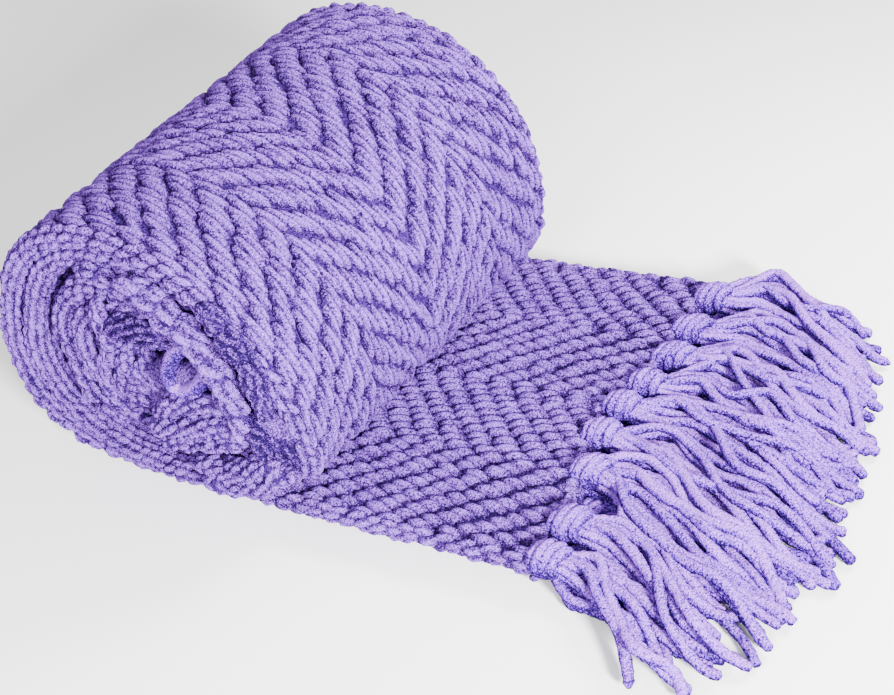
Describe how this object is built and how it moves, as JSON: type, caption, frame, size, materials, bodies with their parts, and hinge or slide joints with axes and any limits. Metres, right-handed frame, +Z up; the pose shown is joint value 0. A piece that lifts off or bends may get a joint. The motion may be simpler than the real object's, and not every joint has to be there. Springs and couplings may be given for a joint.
{
  "type": "chunky knit blanket",
  "caption": "Thick chenille throw knitted in a chevron pattern, folded into a band and rolled up, its loose end lying flat with knotted tassels.",
  "frame": {"origin": "centre of the bounding box at the floor, under the blanket", "axes": "+X from the roll along the flat end towards the tassels, +Y along the roll from its near end to its far end, +Z up"},
  "size_m": [0.5938, 0.373, 0.2517],
  "materials": {
    "blanket": "plush lavender chenille knit",
    "tassel_top_01": "plush lavender chenille yarn",
    "tassel_top_02": "plush lavender chenille yarn",
    "tassel_top_03": "plush lavender chenille yarn",
    "tassel_top_04": "plush lavender chenille yarn",
    "tassel_top_05": "plush lavender chenille yarn",
    "tassel_top_06": "plush lavender chenille yarn",
    "tassel_top_07": "plush lavender chenille yarn",
    "tassel_top_08": "plush lavender chenille yarn",
    "tassel_top_09": "plush lavender chenille yarn",
    "tassel_under_01": "plush lavender chenille yarn",
    "tassel_under_02": "plush lavender chenille yarn",
    "tassel_under_03": "plush lavender chenille yarn",
    "tassel_under_04": "plush lavender chenille yarn",
    "tassel_under_05": "plush lavender chenille yarn",
    "tassel_under_06": "plush lavender chenille yarn",
    "tassel_under_07": "plush lavender chenille yarn",
    "tassel_under_08": "plush lavender chenille yarn"
  },
  "bodies": {
    "root": {"blanket": "blanket", "tassel_top_01": "tassel_top_01", "tassel_top_02": "tassel_top_02", "tassel_top_03": "tassel_top_03", "tassel_top_04": "tassel_top_04", "tassel_top_05": "tassel_top_05", "tassel_top_06": "tassel_top_06", "tassel_top_07": "tassel_top_07", "tassel_top_08": "tassel_top_08", "tassel_top_09": "tassel_top_09", "tassel_under_01": "tassel_under_01", "tassel_under_02": "tassel_under_02", "tassel_under_03": "tassel_under_03", "tassel_under_04": "tassel_under_04", "tassel_under_05": "tassel_under_05", "tassel_under_06": "tassel_under_06", "tassel_under_07": "tassel_under_07", "tassel_under_08": "tassel_under_08"}
  },
  "joints": []
}
